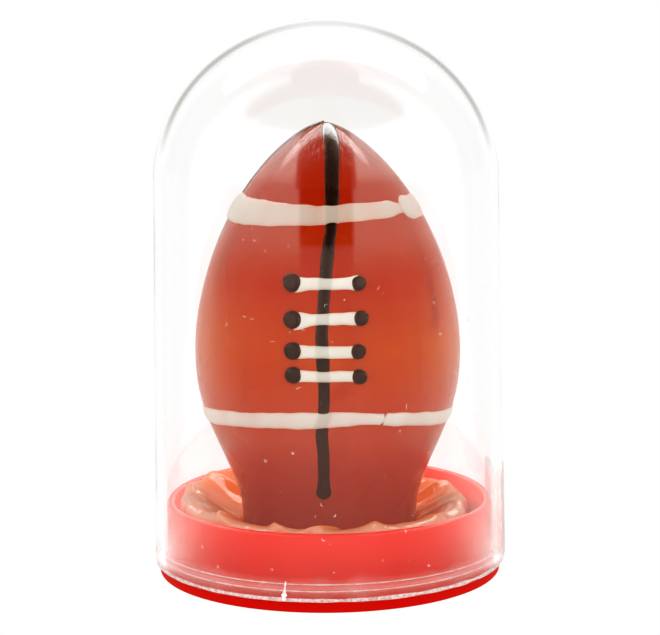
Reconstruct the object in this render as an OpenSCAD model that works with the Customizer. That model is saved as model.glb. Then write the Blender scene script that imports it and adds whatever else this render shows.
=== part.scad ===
// A small football figure in a clear bell dome on a red tray, in millimetres.
// +Z is up, the front of the figure faces -Y, and the tray stands on z = 0.

/* [Dome] */
// outside diameter of the dome at its open rim
dome_diameter = 63.5; // [63:0.1:65]
// top of the dome above the table
overall_height = 99.7; // [97:0.1:110]
// wall of the moulded dome
dome_wall = 1.5; // [1.2:0.1:1.6]
// how much the radius shrinks from the rim to the start of the crown
dome_draft = 0.95; // [0.5:0.05:1.2]
// height of the rounded crown
crown_height = 28.3; // [26:0.1:30]
// how far the two fine moulded lines stand off the wall
line_height = 0.12; // [0.05:0.01:0.2]

/* [Tray] */
// diameter of the flange that the dome stands on
flange_diameter = 62; // [60:0.1:63]
// thickness of the flange
flange_thickness = 2.04; // [1.6:0.02:2.2]
// outside diameter of the upright collar
collar_diameter = 59.2; // [58:0.1:59.4]
// top of the collar above the table
collar_top = 13.5; // [12:0.1:15]
// wall of the collar
collar_wall = 1.45; // [1:0.05:1.6]
// floor of the tray above the table
floor_top = 2.2; // [2:0.1:2.6]
// depth of the hollow under the tray
foot_recess = 0.6; // [0.3:0.1:0.8]

/* [Football] */
// tip of the football above the table
ball_top = 81.4; // [76:0.1:82]
// height of the widest section
ball_waist = 41; // [38:0.1:43]
// diameter at the widest section
ball_diameter = 47.8; // [44:0.1:50]
// diameter of the neck that goes down into the tray
neck_diameter = 31.6; // [29:0.1:33]
// height at which the neck becomes straight
neck_height = 10; // [8:0.1:12]
// thickness of the rubber skin
skin = 0.6; // [0.4:0.05:0.8]

/* [Gathered skirt] */
// outside radius of the gathered skirt
skirt_radius = 27.2; // [25:0.1:27.4]
// highest fold of the skirt
skirt_top = 14.6; // [13:0.1:16]
// number of folds round the skirt
folds = 20; // [12:1:28]
// thickness of the doubled rubber
skirt_wall = 1; // [0.7:0.1:1.4]
// thickness of the rolled open end
rim_bead = 2.8; // [2:0.1:3]

/* [Paint] */
// thickness of the black stripe
stripe_paint = 0.25; // [0.15:0.05:0.3]
// thickness of the white bars and bands
white_paint = 0.5; // [0.4:0.05:0.7]
// thickness of the black dots
dot_paint = 0.8; // [0.75:0.05:1]
// width of the black stripe
stripe_width = 2.2; // [1.8:0.1:2.6]
// diameter of the dots on the left
left_dot = 3.1; // [2.4:0.1:3.2]
// diameter of the dots on the right
right_dot = 2.6; // [2.2:0.1:3.2]

/* [Hidden] */
$fn = 96;

rim_radius = dome_diameter / 2;
crown_radius = rim_radius - dome_draft;
crown_base = overall_height - crown_height;
line_low = flange_thickness + 2;
line_high = flange_thickness + 3.2;
// the inside of the lip is straight for a short way, so the collar can guide it
lip_straight = 4;
lip_radius = rim_radius - dome_wall;
guide_gap = 0.08;
collar_radius = collar_diameter / 2;
// a low bead near the foot of the collar centres the dome
guide_low = flange_thickness + 0.8;
guide_high = flange_thickness + 2;
// a boss on the tray floor goes into a socket under the former
boss_radius = 6;
boss_height = 4;
socket_gap = 0.08;
socket_depth = boss_height + 0.5;
// the skin turns out into the skirt at this height
skin_foot = 6;
foot_radius = rim_radius - 3.5;

waist_radius = ball_diameter / 2;
neck_radius = neck_diameter / 2;

// height of each of the four laces, top to bottom
lace_z = [55.5, 49.6, 44.1, 39.8];
lace_half = [1.1, 1.2, 1.15, 1.05];
left_x = -5.8;
right_x = 5.3;

// centre line of the stripe seen from the front, top to bottom
stripe_line = [
  [0.4, 84], [1.1, 77], [1, 68], [0.1, 58.5],
  [-0.9, 48], [-0.75, 38], [-1.1, 29], [-0.9, 17.6]
];
stripe_end = 17.6;

// upper and lower edges of the two bands seen from the front
upper_edges = [
  [-30, 64.6], [-12, 64.5], [0, 65.1], [12, 65.8], [30, 64.8],
  [30, 68.7], [12, 68.5], [0, 68.3], [-12, 68.8], [-30, 68.8]
];
lower_edges = [
  [-30, 27.2], [-16, 29.5], [0, 30.6], [12, 30.2], [30, 27],
  [30, 29.8], [16, 32], [0, 33.6], [-16, 32.4], [-30, 30.4]
];

// a label is stuck on the right of the dome, wrapping round to the back
label_low = 3.4;
label_high = 19;
label_thick = 0.5;
label_front = -16;
label_back = 14;
label_corner = 1.6;

// ---- shared outlines ----

// outside of the football moved out by d, from the tip down to the height low
function ball_outline(d, low) =
  let (top = ball_top + d, wide = waist_radius + d, thin = neck_radius + d)
  concat(
    [for (i = [0:16]) let (u = cos(90 * i / 16))
      [i == 0 ? 0 : wide * pow(1 - pow(u, 1.8), 0.665),
       ball_waist + (top - ball_waist) * u]],
    [for (i = [1:10]) let (v = i / 10)
      [thin + (wide - thin) * (1 + cos(180 * pow(v, 1.2))) / 2,
       ball_waist + (neck_height - ball_waist) * v]],
    [[thin, low]]
  );

// points of a crown from its edge to its top
function crown_points(radius, base, top, n) =
  [for (i = [0:n]) let (a = 90 * i / n)
    [i == n ? 0 : radius * cos(a), base + (top - base) * sin(a)]];

module ball_solid(d, low) {
  rotate_extrude()
    polygon(concat([[0, low]], ball_outline(d, low)));
}

// a skin of paint on the football between the offsets inner and outer
module paint_layer(inner, outer) {
  difference() {
    ball_solid(outer, 12);
    ball_solid(inner, 11);
  }
}

// a drawing in x and z carried forward from the middle of the football
module front_prism() {
  rotate([90, 0, 0])
    linear_extrude(height = 40)
      children();
}

module stripe_prism() {
  half = stripe_width / 2;
  n = len(stripe_line);
  front_prism()
    polygon(concat(
      [for (p = stripe_line) [p[0] - half, p[1]]],
      [for (i = [n - 1:-1:0]) [stripe_line[i][0] + half, stripe_line[i][1]]]
    ));
  front_prism()
    translate([stripe_line[n - 1][0], stripe_end])
      circle(r = half);
}

module lace_prism(k) {
  z = lace_z[k - 1];
  h = lace_half[k - 1];
  front_prism()
    polygon([
      [left_x, z - h - 0.3], [left_x + 2.2, z - h], [right_x - 1.6, z - h],
      [right_x, z - h + 0.02], [right_x, z + h - 0.02], [right_x - 1.6, z + h],
      [left_x + 2.2, z + h], [left_x, z + h + 0.2]
    ]);
}

module band_prism(edges) {
  translate([0, 40, 0])
    rotate([90, 0, 0])
      linear_extrude(height = 80)
        polygon(edges);
}

module band(edges) {
  color("ivory")
    difference() {
      intersection() {
        paint_layer(0, white_paint);
        band_prism(edges);
      }
      intersection() {
        paint_layer(-0.2, stripe_paint);
        stripe_prism();
      }
    }
}

module dome_outside() {
  low = flange_thickness;
  rotate_extrude()
    polygon(concat(
      [[0, low], [rim_radius, low], [rim_radius, line_low - 0.2],
       [rim_radius + line_height, line_low], [rim_radius, line_low + 0.2],
       [rim_radius, line_high - 0.2], [rim_radius + line_height, line_high],
       [rim_radius, line_high + 0.2]],
      crown_points(crown_radius, crown_base, overall_height, 20)
    ));
}

module dome_inside() {
  low = flange_thickness;
  rotate_extrude()
    polygon(concat(
      [[0, low - 1], [lip_radius, low - 1], [lip_radius, low + lip_straight]],
      crown_points(crown_radius - dome_wall, crown_base, overall_height - dome_wall, 20)
    ));
}

// ---- nodes ----

module base_tray() {
  color("crimson")
    union() {
      rotate_extrude()
        polygon([
          [0, foot_recess], [foot_radius, foot_recess], [foot_radius + 0.4, 0],
          [flange_diameter / 2 - 0.3, 0], [flange_diameter / 2, 0.3],
          [flange_diameter / 2, flange_thickness], [collar_radius, flange_thickness],
          [collar_radius, guide_low], [lip_radius - guide_gap, guide_low + 0.4],
          [lip_radius - guide_gap, guide_high - 0.4], [collar_radius, guide_high],
          [collar_radius, collar_top - 0.4], [collar_radius - 0.4, collar_top],
          [collar_radius - collar_wall + 0.3, collar_top],
          [collar_radius - collar_wall, collar_top - 0.3],
          [collar_radius - collar_wall, floor_top + 0.8],
          [collar_radius - collar_wall - 0.8, floor_top], [boss_radius, floor_top],
          [boss_radius, floor_top + boss_height - 0.5],
          [boss_radius - 0.5, floor_top + boss_height], [0, floor_top + boss_height]
        ]);
    }
}

module dome_cover() {
  color([0.85, 0.9, 0.95, 0.3])
    difference() {
      dome_outside();
      dome_inside();
    }
}

module side_label() {
  middle = (label_low + label_high) / 2;
  color("white")
    difference() {
      intersection() {
        rotate([0, 0, label_front])
          rotate_extrude(angle = label_back - label_front)
            polygon([
              [rim_radius - 1, label_low], [rim_radius + label_thick, label_low],
              [rim_radius + label_thick - 0.15, label_high], [rim_radius - 1, label_high]
            ]);
        rotate([0, 0, (label_front + label_back) / 2])
          translate([0, 0, middle])
            rotate([90, 0, 90])
              linear_extrude(height = 60)
                label_outline();
      }
      dome_outside();
    }
}

// the label flattened on a plane in front of its middle, with round corners
module label_outline() {
  half_w = (rim_radius + label_thick) * sin((label_back - label_front) / 2);
  half_h = (label_high - label_low) / 2;
  c = label_corner;
  square([2 * half_w - 2 * c, 2 * half_h], center = true);
  square([2 * half_w, 2 * half_h - 2 * c], center = true);
  for (sx = [-1, 1])
    for (sy = [-1, 1])
      translate([sx * (half_w - c), sy * (half_h - c)])
        circle(r = c);
}

module inner_former() {
  color("wheat")
    difference() {
      ball_solid(-skin, floor_top);
      translate([0, 0, floor_top - 1])
        cylinder(r = boss_radius + socket_gap, h = socket_depth + 1);
    }
}

module football_skin() {
  color("sienna")
    difference() {
      ball_solid(0, skin_foot);
      ball_solid(-skin, skin_foot - 1);
    }
}

// the loose end of the rubber: out from the neck, up, over and down the collar
module gathered_skirt() {
  w = skirt_wall;
  r = skirt_radius;
  n = neck_radius;
  color("peru")
    difference() {
      rotate_extrude()
        polygon([
          [n - skin, skin_foot - 3], [n, skin_foot - 3], [n + w, skin_foot],
          [n + w + 0.6, skirt_top - 5], [r - 6, skirt_top - w - 1],
          [r - 3.5, skirt_top - w], [r - w - 0.6, skirt_top - 3], [r - w, skirt_top - 6],
          [r - w - 0.3, 7.6], [r, 7.6], [r, skirt_top - 5.6], [r - 0.6, skirt_top - 2.4],
          [r - 2.8, skirt_top], [r - 6.2, skirt_top - 0.6], [n + 1.2, skirt_top - 4],
          [n, skirt_top - 4.6], [n, skin_foot], [n - skin, skin_foot]
        ]);
      for (k = [0:folds - 1])
        rotate([0, 0, k * 360 / folds + 4])
          translate([n + 1, 0, skirt_top - 0.5])
            rotate([90, 0, 90])
              linear_extrude(height = 14)
                polygon([[-0.9, 3], [0, 0], [0.9, 3]]);
    }
}

module rolled_rim() {
  r = rim_bead / 2;
  color("saddlebrown")
    rotate_extrude()
      union() {
        translate([skirt_radius - r - 0.1, floor_top + r])
          circle(r = r);
        polygon([
          [skirt_radius - skirt_wall - 0.3, floor_top + r], [skirt_radius - 0.3, floor_top + r],
          [skirt_radius - 0.1, 7.6], [skirt_radius - skirt_wall - 0.2, 7.6]
        ]);
      }
}

module seam_stripe() {
  color([0.1, 0.1, 0.1])
    intersection() {
      paint_layer(0, stripe_paint);
      stripe_prism();
    }
}

module upper_band() {
  band(upper_edges);
}

module lower_band() {
  band(lower_edges);
}

module lace_bar(k) {
  color("ivory")
    difference() {
      intersection() {
        paint_layer(0, white_paint);
        lace_prism(k);
      }
      intersection() {
        paint_layer(-0.2, stripe_paint);
        stripe_prism();
      }
    }
}

module lace_dot(k, x, size) {
  color([0.1, 0.1, 0.1])
    difference() {
      intersection() {
        paint_layer(0, dot_paint);
        front_prism()
          translate([x, lace_z[k - 1]])
            circle(d = size);
      }
      intersection() {
        paint_layer(-0.2, white_paint);
        lace_prism(k);
      }
    }
}

base_tray();
dome_cover();
side_label();
inner_former();
football_skin();
gathered_skirt();
rolled_rim();
seam_stripe();
upper_band();
lower_band();
for (k = [1:4])
  lace_bar(k);
for (k = [1:4])
  lace_dot(k, left_x, left_dot);
for (k = [1:4])
  lace_dot(k, right_x, right_dot);
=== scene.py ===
# %% [markdown]
# # A rubber football under a clear dome
# The object is a small novelty: a football figure of thin painted rubber, standing in a red
# moulded tray under a clear bell-shaped dome. This file dresses the packed CAD model with
# meshes and finishes. Everything is in metres, +Z is up and the laces face -Y.

import math
import random

import bpy
import numpy as np
from mathutils import Matrix, Vector, noise


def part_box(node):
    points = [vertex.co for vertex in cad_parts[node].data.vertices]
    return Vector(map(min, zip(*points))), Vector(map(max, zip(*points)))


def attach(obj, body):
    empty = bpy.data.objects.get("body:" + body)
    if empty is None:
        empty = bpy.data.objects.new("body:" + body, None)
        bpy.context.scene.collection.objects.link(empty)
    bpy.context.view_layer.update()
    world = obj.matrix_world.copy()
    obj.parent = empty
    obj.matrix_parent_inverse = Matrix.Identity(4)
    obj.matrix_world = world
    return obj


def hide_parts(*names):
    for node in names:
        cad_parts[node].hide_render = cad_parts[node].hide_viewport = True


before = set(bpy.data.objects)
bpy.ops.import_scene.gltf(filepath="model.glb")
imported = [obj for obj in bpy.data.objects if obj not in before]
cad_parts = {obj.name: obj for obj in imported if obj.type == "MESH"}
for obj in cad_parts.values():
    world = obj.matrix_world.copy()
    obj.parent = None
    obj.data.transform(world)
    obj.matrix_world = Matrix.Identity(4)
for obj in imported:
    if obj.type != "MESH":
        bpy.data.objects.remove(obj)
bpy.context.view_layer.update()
MM = 0.001

# %% [markdown]
# The main sizes come from the boxes of the CAD nodes, so that the looks and the solids agree.
# The values are turned into millimetres here, because the shapes are easier to read that way.

# %% Read the sizes
def box_mm(node):
    low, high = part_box(node)
    return [v / MM for v in low], [v / MM for v in high]


(_, _, DOME_FOOT), (DOME_RIM, _, DOME_TOP) = box_mm("dome_cover")
_, (TRAY_R, _, COLLAR_TOP) = box_mm("base_tray")
_, (WAIST_R, _, BALL_TOP) = box_mm("football_skin")
_, (_, _, SKIRT_TOP) = box_mm("gathered_skirt")
(_, _, FLOOR_TOP), _ = box_mm("rolled_rim")
(_, _, LABEL_LOW), (_, _, LABEL_HIGH) = box_mm("side_label")
RIB = 0.12  # the moulded lines on the dome stand off this far
RIM_R = DOME_RIM - RIB
NECK_R = 15.8
WAIST_Z = 41.0
NECK_Z = 10.0
print(f"dome {2 * RIM_R:.1f} mm across, {DOME_TOP:.1f} mm high; ball tip at {BALL_TOP:.1f} mm")

# %% [markdown]
# Most pieces are round. A lathe turns a drawn outline about Z, as a potter would: each point
# of the outline becomes a ring of vertices. Corners are rounded on the drawing first, because
# a moulded edge always has a small radius that catches the light.

# %% Outline helpers
def rounded(corners, steps=5):
    """Corners are (r, z, radius). Returns points with each corner cut to a small arc."""
    points = []
    count = len(corners)
    for i, (r, z, radius) in enumerate(corners):
        here = Vector((r, z))
        before = Vector(corners[i - 1][:2]) - here
        after = Vector(corners[(i + 1) % count][:2]) - here
        if radius <= 0:
            points.append((r, z))
            continue
        reach = min(radius, before.length / 2.01, after.length / 2.01)
        start, end = here + before.normalized() * reach, here + after.normalized() * reach
        for k in range(steps + 1):
            t = k / steps
            p = start * (1 - t) ** 2 + here * 2 * t * (1 - t) + end * t**2
            points.append((p.x, p.y))
    return points


def smooth(low, high, x):
    """0 at low and 1 at high with a soft start and end."""
    t = min(1.0, max(0.0, (x - low) / (high - low)))
    return t * t * (3 - 2 * t)


square = rounded([(0, 0, 1), (4, 0, 1), (4, 4, 1), (0, 4, 1)])
print("a rounded square has", len(square), "points")

# %% Mesh helpers
def set_numbers(piece, name, values):
    """Stores one number for each vertex, which a finish can read by its name."""
    layer = piece.data.attributes.new(name, "FLOAT", "POINT")
    layer.data.foreach_set("value", np.array(values, dtype=np.float32))


def make_piece(name, verts, faces, body, finish=None, sharp=None):
    """Builds a smooth-shaded mesh object from points in millimetres."""
    mesh = bpy.data.meshes.new(name)
    mesh.from_pydata([Vector(v) * MM for v in verts], [], faces)
    mesh.validate()
    mesh.update()
    mesh.shade_smooth()
    if sharp is not None:
        mesh.set_sharp_from_angle(angle=math.radians(sharp))
    piece = bpy.data.objects.new(name, mesh)
    bpy.context.scene.collection.objects.link(piece)
    if body:
        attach(piece, body)
    if finish:
        mesh.materials.append(finish)
    return piece


def grid_faces(rows, cols, wrap_rows=False, wrap_cols=False, first=0, flip=False):
    """Quads over a grid of points stored row by row."""
    faces = []
    for i in range(rows if wrap_rows else rows - 1):
        for j in range(cols if wrap_cols else cols - 1):
            a = first + i * cols + j
            b = first + i * cols + (j + 1) % cols
            c = first + ((i + 1) % rows) * cols + (j + 1) % cols
            d = first + ((i + 1) % rows) * cols + j
            faces.append((a, d, c, b) if flip else (a, b, c, d))
    return faces


print("grid of 3 by 4 points:", len(grid_faces(3, 4)), "faces")

# %% Lathe
def lathe(outline, segments=192, ring=None):
    """Turns a closed outline of (r, z) about Z. ring(angle, r, z) may move a point."""
    verts, faces, rings = [], [], []
    for r, z in outline:
        if r < 1e-6:
            rings.append([len(verts)])
            verts.append((0, 0, z))
            continue
        start = len(verts)
        for k in range(segments):
            a = 2 * math.pi * k / segments
            rr, zz = ring(a, r, z) if ring else (r, z)
            verts.append((rr * math.sin(a), -rr * math.cos(a), zz))
        rings.append(list(range(start, start + segments)))
    for low, high in zip(rings, rings[1:] + rings[:1]):
        if len(low) == 1 and len(high) == 1:
            continue
        for k in range(segments):
            n = (k + 1) % segments
            if len(low) == 1:
                faces.append((low[0], high[n], high[k]))
            elif len(high) == 1:
                faces.append((low[k], low[n], high[0]))
            else:
                faces.append((low[k], low[n], high[n], high[k]))
    return verts, faces


print("a turned washer:", len(lathe([(1, 0), (2, 0), (2, 1), (1, 1)], 24)[1]), "faces")

# %% Thin closed pieces
def face_outwards(piece):
    """Turns the faces round if the signed volume inside them is negative."""
    total = 0.0
    for face in piece.data.polygons:
        corners = [piece.data.vertices[i].co for i in face.vertices]
        for k in range(1, len(corners) - 1):
            total += corners[0].dot(corners[k].cross(corners[k + 1]))
    if total < 0:
        piece.data.flip_normals()


def make_patch(name, near, far, rows, cols, finish, sharp=None):
    """A thin closed patch on the dome between two grids of points."""
    count = len(near)
    faces = grid_faces(rows, cols) + grid_faces(rows, cols, first=count, flip=True)
    last = (rows - 1) * cols
    edge = list(range(cols)) + [cols * j + cols - 1 for j in range(1, rows)]
    edge += [last + i for i in range(cols - 2, -1, -1)] + [cols * j for j in range(rows - 2, 0, -1)]
    for a, b in zip(edge, edge[1:] + edge[:1]):
        faces.append((b, a, a + count, b + count))
    piece = make_piece(name, near + far, faces, "dome", finish, sharp)
    face_outwards(piece)
    return piece


print("helpers for closed pieces:", face_outwards.__name__, "and", make_patch.__name__)

# %% [markdown]
# Finishes are node graphs. Written as sums they stay readable: a small class wraps a socket,
# and each operator adds the Math node that it stands for.

# %% Shader maths
class Val:
    """A socket of a finish that can be used in sums."""

    def __init__(self, finish, socket):
        self.finish, self.socket = finish, socket

    def math(self, operation, *others):
        return self.finish.add("ShaderNodeMath", {"operation": operation}, self, *others)

    def __add__(self, other):
        return self.math("ADD", other)

    def __sub__(self, other):
        return self.math("SUBTRACT", other)

    def __rsub__(self, other):
        return self.finish.add("ShaderNodeMath", {"operation": "SUBTRACT"}, other, self)

    def __mul__(self, other):
        return self.math("MULTIPLY", other)

    def __truediv__(self, other):
        return self.math("DIVIDE", other)

    def over(self, low, high):
        """0 at low and 1 at high with a soft start and end."""
        return self.finish.add(
            "ShaderNodeMapRange", {"interpolation_type": "SMOOTHSTEP"}, self, low, high, 0.0, 1.0
        )

    __radd__ = __add__
    __rmul__ = __mul__


print("values can be added, taken away, multiplied and divided")

# %% [markdown]
# A finish owns a node tree. One method adds any node: its settings go in first, then the
# values or links of its sockets. The others are short names for what is used most.

# %% Finishes
class Finish:
    """The nodes of a material, or of the surroundings, with one method that adds any node."""

    def __init__(self, name, owner=None):
        self.material = owner or bpy.data.materials.new(name)
        self.material.use_nodes = True
        self.tree = self.material.node_tree
        self.tree.nodes.clear()
        kind = "ShaderNodeOutputWorld" if owner else "ShaderNodeOutputMaterial"
        self.out = self.tree.nodes.new(kind)

    def add(self, kind, settings=None, *values, out=0, **named):
        node = self.tree.nodes.new(kind)
        for key, value in (settings or {}).items():
            if key == "stops":
                ramp = node.color_ramp.elements
                while len(ramp) < len(value):
                    ramp.new(0.5)
                for stop, (place, colour) in zip(ramp, value):
                    stop.position, stop.color = place, (*colour, 1)
            else:
                setattr(node, key, value)
        pairs = list(enumerate(values)) + [(k.replace("_", " "), v) for k, v in named.items()]
        for key, value in pairs:
            if value is None:
                continue
            if isinstance(value, Val):
                self.tree.links.new(value.socket, node.inputs[key])
            elif isinstance(value, tuple) and len(value) == 3 and node.inputs[key].type == "RGBA":
                node.inputs[key].default_value = (*value, 1)
            else:
                node.inputs[key].default_value = value
        if not node.outputs:
            return node
        return Val(self, node.outputs[out])

    def place(self):
        """Where a point is on its own object, in metres."""
        return self.add("ShaderNodeTexCoord", out="Object")

    def axis(self, which):
        return self.add("ShaderNodeSeparateXYZ", {}, self.place(), out="XYZ".index(which))

    def noise(self, scale, detail=3.0, stretch=None, rough=0.5):
        place = self.place()
        if stretch:
            place = self.add("ShaderNodeMapping", {}, place, None, None, stretch)
        return self.add(
            "ShaderNodeTexNoise", {}, Vector=place, Scale=scale, Detail=detail, Roughness=rough
        )

    def blend(self, share, first, second):
        """A mix of two colours. The node keeps those in its sockets 6 and 7."""
        other_kinds = [None] * 5
        return self.add(
            "ShaderNodeMix", {"data_type": "RGBA"}, share, *other_kinds, first, second, out=2
        )

    def bump(self, height, strength, distance):
        return self.add(
            "ShaderNodeBump", {}, Height=height, Strength=strength, Distance=distance
        )

    def attribute(self, name):
        """A number stored on the vertices by set_numbers."""
        return self.add("ShaderNodeAttribute", {"attribute_name": name}, out="Fac")

    def show(self, shader):
        self.tree.links.new(shader.socket, self.out.inputs[0])
        return shader

    def surface(self, **named):
        return self.show(self.add("ShaderNodeBsdfPrincipled", {}, **named))

    def mix(self, share, first, second):
        """Shows the second shader by a share and the first by the rest."""
        return self.show(self.add("ShaderNodeMixShader", {}, share, first, second))


print("a finish has", sum(callable(value) for value in vars(Finish).values()), "methods")

# %% [markdown]
# ## The red tray
# One injection-moulded piece of glossy red styrene: a flat flange that the dome stands on,
# and a collar that centres it. It is turned on the lathe with small radii on each edge.
# The red is painted lighter up the collar and darker on the flange, as painted light and shade.
# The collar's inner wall is painted paler, with a painted glow for light through the thin wall.
# The plastic has almost no texture, so its finish is a strong red with very faint mottling
# in the gloss, as thin mouldings show.

# %% Red plastic
red = Finish("red_styrene")
mottle = red.noise(180.0, 2.0)
level = red.axis("Z") * 1000.0
red_tone_and_painted_light = red.blend(mottle.over(0.3, 0.7), (0.66, 0.010, 0.009), (0.71, 0.014, 0.013))
# Painted light and shade: a lighter red up the collar, where light from above falls, and a darker
# red on the flange.
red_tone_and_painted_light = red.blend(level.over(5.0, 13.5), red_tone_and_painted_light, (0.90, 0.030, 0.028))
red_tone_and_painted_light = red.blend(level.over(2.3, 1.8), red_tone_and_painted_light, (0.58, 0.0, 0.0))
across, along = red.axis("X"), red.axis("Y")
from_middle = (across * across + along * along).math("SQRT") * 1000.0
# Painted glow: the collar's inner wall is painted paler and given an emission colour, for light
# coming through the thin wall.
inner_wall_painted_glow = from_middle.over(28.9, 28.4) * level.over(7.0, 13.0)
red_tone_and_painted_light = red.blend(inner_wall_painted_glow, red_tone_and_painted_light, (1.0, 0.10, 0.09))
red.surface(
    Base_Color=red_tone_and_painted_light,
    Roughness=mottle * 0.08 + 0.16 + level.over(2.3, 1.8) * 0.7,
    Specular_IOR_Level=0.3,
    Emission_Color=red.blend(inner_wall_painted_glow, (0.0, 0.0, 0.0), (0.50, 0.045, 0.045)),
    Emission_Strength=1.0,
    Normal=red.bump(red.noise(900.0, 2.0), 0.05, 0.0002),
)
print("red plastic:", len(red.tree.nodes), "nodes")

# %% Red tray
COLLAR_R, COLLAR_IN, FLANGE_TOP = 29.6, 28.15, DOME_FOOT
GUIDE_R = RIM_R - 1.6  # a low bead that centres the dome
tray_corners = [
    (0, 0.6, 0), (27.7, 0.6, 0.2), (28.2, 0.0, 0.2), (TRAY_R, 0.0, 0.4),
    (TRAY_R, FLANGE_TOP - 0.02, 0.25), (COLLAR_R, FLANGE_TOP - 0.02, 0.15),
    (COLLAR_R, 2.9, 0.1), (GUIDE_R, 3.3, 0.2), (GUIDE_R, 3.7, 0.2), (COLLAR_R, 4.1, 0.2),
    (COLLAR_R, COLLAR_TOP, 0.45), (COLLAR_IN, COLLAR_TOP, 0.45),
    (COLLAR_IN, FLOOR_TOP, 0.8), (6.0, FLOOR_TOP, 0.2), (5.95, FLOOR_TOP + 3.9, 0.5),
    (0, FLOOR_TOP + 3.9, 0),
]
tray = make_piece("red_tray", *lathe(rounded(tray_corners)), "base", red.material, sharp=50)
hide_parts("base_tray")
print("red tray:", len(tray.data.polygons), "faces")

# %% [markdown]
# ## The clear dome
# A bell of clear styrene, moulded in one shot: 1.5 mm walls, a slight taper, two fine witness
# lines above the rim and a rim edge that was left a little rough. Glass and clear plastic are
# drawn as a real wall with an inside and an outside, so that light bends twice and the edges
# come out bright and dark as they should. Light on its way from a lamp, or from something
# dull, isn't bent: for those rays the finish turns transparent, so the inside is well lit.

# %% Clear plastic
clear = Finish("clear_styrene")
wave = clear.noise(55.0, 2.0)
scratch = clear.noise(420.0, 1.0, stretch=(1.0, 1.0, 0.06))
clear_body = clear.surface(
    Base_Color=(0.99, 0.992, 0.99),
    Roughness=0.0,
    IOR=1.47,
    Transmission_Weight=1.0,
    Normal=clear.bump(wave * 0.7 + scratch * 0.04, 0.05, 0.0006),
)
lets_light_in = clear.add("ShaderNodeBsdfTransparent", {}, (0.97, 0.972, 0.97))
for ray in ("Is Diffuse Ray", "Is Shadow Ray"):  # from something dull, and from a lamp
    on_its_way = clear.add("ShaderNodeLightPath", out=ray)
    clear_body = clear.mix(on_its_way, clear_body, lets_light_in)
print("clear plastic:", len(clear.tree.nodes), "nodes")

# %% Dome outline
WALL, CROWN_HIGH = 1.5, 28.3
DRAFT = 0.95  # how much the radius shrinks up the straight wall, so that it leaves the mould
CROWN_R, CROWN_Z = RIM_R - DRAFT, DOME_TOP - CROWN_HIGH


def dome_radius(z):
    return RIM_R - DRAFT * (z - DOME_FOOT) / (CROWN_Z - DOME_FOOT)


def crown(radius, top, steps=56):
    angles = [math.pi / 2 * k / steps for k in range(steps + 1)]
    return [(radius * math.cos(a), CROWN_Z + (top - CROWN_Z) * math.sin(a)) for a in angles]


def wall_rings(inset):
    """Rings up the straight wall, so that smooth shading at its ends can't tilt all of it."""
    heights = [DOME_FOOT + 0.22, DOME_FOOT + 0.6, 8.0, 30.0, 55.0, CROWN_Z - 4, CROWN_Z - 0.8]
    return [(dome_radius(z) - inset, z) for z in heights]


print(f"the dome narrows to {2 * CROWN_R:.1f} mm at its crown")

# %% Clear dome
rim_edge = rounded([(RIM_R - WALL, DOME_FOOT + 0.01, 0.12), (RIM_R, DOME_FOOT + 0.01, 0.18),
                    (RIM_R, DOME_FOOT + 1.6, 0)], 4)[:-1]
outer = rim_edge + wall_rings(0.0) + crown(CROWN_R, DOME_TOP)[:-1] + [(0, DOME_TOP)]
inner = [(0, DOME_TOP - WALL)] + crown(CROWN_R - WALL, DOME_TOP - WALL)[-2::-1]
inner += wall_rings(WALL)[::-1]
dome = make_piece("clear_dome", *lathe(outer + inner, 256), "dome", clear.material, sharp=60)
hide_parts("dome_cover")
print("clear dome:", len(dome.data.polygons), "faces")

# %% [markdown]
# Where the rim rubs on the tray, the plastic is pale and dull from wear. The two witness lines,
# where the mould halves met, and a band round the foot are painted pale too, as painted highlights.
# Each such line is a ring of its own, a hair outside the wall, with a finish that is mostly
# transparent: a Mix Shader lets the dull plastic through where the grit says so.

# %% Scuffed and hazed plastic
scuffed_and_highlight = Finish("scuffed_and_highlight_styrene")
grit = scuffed_and_highlight.noise(1800.0, 3.0)
scuffed_and_highlight_body = scuffed_and_highlight.surface(
    Base_Color=(0.96, 0.93, 0.93),
    Roughness=grit * 0.3 + 0.4,
    Normal=scuffed_and_highlight.bump(grit, 0.3, 0.0002),
)
see_through = scuffed_and_highlight.add("ShaderNodeBsdfTransparent", {}, (1.0, 1.0, 1.0))
worn = grit.over(0.25, 0.70) * 0.40 + 0.28
scuffed_and_highlight.mix(worn, see_through, scuffed_and_highlight_body)

# The rim haze is a painted highlight: a faint pale band round the foot of the dome.
highlight_haze = Finish("painted_highlight_haze_styrene")
highlight_patches = highlight_haze.noise(120.0, 3.0, stretch=(1.0, 1.0, 0.3))
highlight_haze_body = highlight_haze.surface(Base_Color=(0.95, 0.94, 0.94), Roughness=0.5)
see_through = highlight_haze.add("ShaderNodeBsdfTransparent", {}, (1.0, 1.0, 1.0))
highlight_haze.mix(highlight_haze.attribute("worn") * (highlight_patches * 0.22 + 0.06), see_through, highlight_haze_body)
print("scuffed:", len(scuffed_and_highlight.tree.nodes), "nodes, hazed:", len(highlight_haze.tree.nodes), "nodes")

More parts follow.
